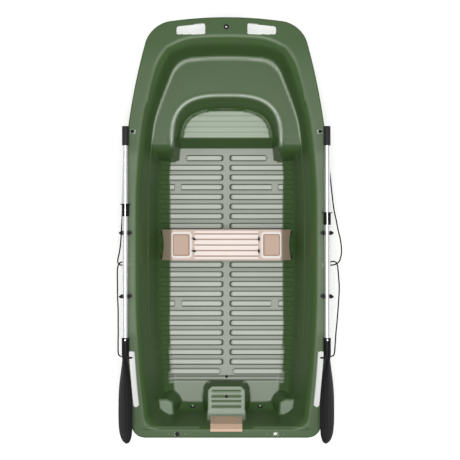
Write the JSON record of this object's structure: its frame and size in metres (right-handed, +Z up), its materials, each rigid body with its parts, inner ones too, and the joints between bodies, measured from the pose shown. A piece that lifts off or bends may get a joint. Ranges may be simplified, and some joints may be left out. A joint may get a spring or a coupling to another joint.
{
  "type": "rowing tender",
  "caption": "Open twin-skin plastic rowing tender with a blunt bow, ribbed cockpit floor, removable thwart, stowed oars in rowlocks and side lifelines.",
  "frame": {"origin": "centre of the footprint on the ground, under the middle of the gunwale length", "axes": "+Y to the bow, +X to starboard, +Z up"},
  "size_m": [1.3607, 2.523, 0.526],
  "materials": {
    "green_skin": "satin",
    "green_trim": "satin",
    "foam": "matte",
    "board": "matte",
    "pad_plastic": "satin",
    "tan_plastic": "satin",
    "grey_plastic": "satin",
    "steel": "satin",
    "rope": "matte",
    "oar_tube": "satin",
    "black_rubber": "matte",
    "black_plastic": "satin"
  },
  "bodies": {
    "hull": {"hull_bottom": "green_skin", "hull_side_port": "green_skin", "hull_side_starboard": "green_skin", "hull_bow": "green_skin", "hull_stern": "green_skin", "liner_floor": "green_skin", "liner_side_port": "green_skin", "liner_side_starboard": "green_skin", "liner_bow": "green_skin", "liner_stern": "green_skin", "foam_bow": "foam", "foam_floor_port": "foam", "foam_floor_starboard": "foam", "foam_stern": "foam", "transom_board": "board", "motor_pad_inner": "pad_plastic", "motor_pad_outer": "pad_plastic", "motor_pad_screws": "steel", "painter_bush": "black_plastic", "drain_socket_port": "black_plastic", "drain_socket_starboard": "black_plastic", "stern_bush_port": "black_plastic", "stern_bush_starboard": "green_trim", "trim_screws": "green_trim", "rowlock_sockets_port": "black_plastic", "rowlock_sockets_starboard": "black_plastic", "rope_grommets_port": "green_trim", "rope_grommets_starboard": "green_trim", "lifeline_port": "rope", "lifeline_starboard": "rope", "lifeline_knots": "rope", "lifeline_eyes": "rope"},
    "port_oar": {"port_grip": "black_rubber", "port_shaft": "oar_tube", "port_blade": "black_plastic", "port_shaft_plug": "foam"},
    "port_oar_collar": {"port_collar": "black_plastic"},
    "port_oar_button": {"port_snap_button": "steel"},
    "port_fore_rowlock": {"rowlock_port_fore": "black_plastic", "retainer_port_fore": "steel"},
    "port_aft_rowlock": {"rowlock_port_aft": "black_plastic", "retainer_port_aft": "steel"},
    "port_drain_plug": {"drain_plug_port": "grey_plastic"},
    "starboard_oar": {"starboard_grip": "black_rubber", "starboard_shaft": "oar_tube", "starboard_blade": "black_plastic", "starboard_shaft_plug": "foam"},
    "starboard_oar_collar": {"starboard_collar": "black_plastic"},
    "starboard_oar_button": {"starboard_snap_button": "steel"},
    "starboard_fore_rowlock": {"rowlock_starboard_fore": "black_plastic", "retainer_starboard_fore": "steel"},
    "starboard_aft_rowlock": {"rowlock_starboard_aft": "black_plastic", "retainer_starboard_aft": "steel"},
    "starboard_drain_plug": {"drain_plug_starboard": "grey_plastic"},
    "stern_plug": {"stern_hole_plug": "black_plastic"},
    "bench": {"bench_top": "tan_plastic", "bench_bearer_fore": "oar_tube", "bench_bearer_aft": "oar_tube", "bench_feet": "black_rubber", "wing_bolt_nuts": "steel"},
    "port_fore_wing_bolt": {"wing_bolt_port_fore": "black_plastic"},
    "port_aft_wing_bolt": {"wing_bolt_port_aft": "black_plastic"},
    "starboard_fore_wing_bolt": {"wing_bolt_starboard_fore": "black_plastic"},
    "starboard_aft_wing_bolt": {"wing_bolt_starboard_aft": "black_plastic"}
  },
  "joints": [
    {"name": "port_oar_lift", "type": "slide", "parent": "hull", "child": "port_oar", "axis": [0, 0, 1], "range_m": [0, 0.3]},
    {"name": "port_collar_slide", "type": "slide", "parent": "port_oar", "child": "port_oar_collar", "axis": [0, 1, 0], "range_m": [-0.075, 0.34]},
    {"name": "port_button_press", "type": "slide", "parent": "port_oar", "child": "port_oar_button", "axis": [0, 0, 1], "range_m": [-0.004, 0], "stiffness_N_per_m": 800},
    {"name": "port_fore_rowlock_swivel", "type": "hinge", "parent": "hull", "child": "port_fore_rowlock", "pos_m": [-0.596, -0.03, 0.43], "axis": [0, 0, 1], "range_deg": [-22, 22]},
    {"name": "port_aft_rowlock_swivel", "type": "hinge", "parent": "hull", "child": "port_aft_rowlock", "pos_m": [-0.596, -0.405, 0.43], "axis": [0, 0, 1], "range_deg": [-22, 22]},
    {"name": "port_drain_plug_pull", "type": "slide", "parent": "hull", "child": "port_drain_plug", "axis": [0, 0.8054, 0.5927], "range_m": [0, 0.03]},
    {"name": "starboard_oar_lift", "type": "slide", "parent": "hull", "child": "starboard_oar", "axis": [0, 0, 1], "range_m": [0, 0.3]},
    {"name": "starboard_collar_slide", "type": "slide", "parent": "starboard_oar", "child": "starboard_oar_collar", "axis": [0, 1, 0], "range_m": [-0.028, 0.39]},
    {"name": "starboard_button_press", "type": "slide", "parent": "starboard_oar", "child": "starboard_oar_button", "axis": [0, 0, 1], "range_m": [-0.004, 0], "stiffness_N_per_m": 800},
    {"name": "starboard_fore_rowlock_swivel", "type": "hinge", "parent": "hull", "child": "starboard_fore_rowlock", "pos_m": [0.596, -0.03, 0.43], "axis": [0, 0, 1], "range_deg": [-22, 22]},
    {"name": "starboard_aft_rowlock_swivel", "type": "hinge", "parent": "hull", "child": "starboard_aft_rowlock", "pos_m": [0.596, -0.405, 0.43], "axis": [0, 0, 1], "range_deg": [-22, 22]},
    {"name": "starboard_drain_plug_pull", "type": "slide", "parent": "hull", "child": "starboard_drain_plug", "axis": [0, 0.8054, 0.5927], "range_m": [0, 0.03]},
    {"name": "stern_plug_pull", "type": "slide", "parent": "hull", "child": "stern_plug", "axis": [0, 0, 1], "range_m": [0, 0.04]},
    {"name": "bench_lift", "type": "slide", "parent": "hull", "child": "bench", "axis": [0, 0, 1], "range_m": [0, 0.25]},
    {"name": "port_fore_wing_bolt_turn", "type": "hinge", "parent": "bench", "child": "port_fore_wing_bolt", "pos_m": [-0.198, -0.067, 0.25], "axis": [0, 0, 1], "continuous": true},
    {"name": "port_aft_wing_bolt_turn", "type": "hinge", "parent": "bench", "child": "port_aft_wing_bolt", "pos_m": [-0.198, -0.141, 0.25], "axis": [0, 0, 1], "continuous": true},
    {"name": "starboard_fore_wing_bolt_turn", "type": "hinge", "parent": "bench", "child": "starboard_fore_wing_bolt", "pos_m": [0.198, -0.067, 0.25], "axis": [0, 0, 1], "continuous": true},
    {"name": "starboard_aft_wing_bolt_turn", "type": "hinge", "parent": "bench", "child": "starboard_aft_wing_bolt", "pos_m": [0.198, -0.141, 0.25], "axis": [0, 0, 1], "continuous": true}
  ]
}
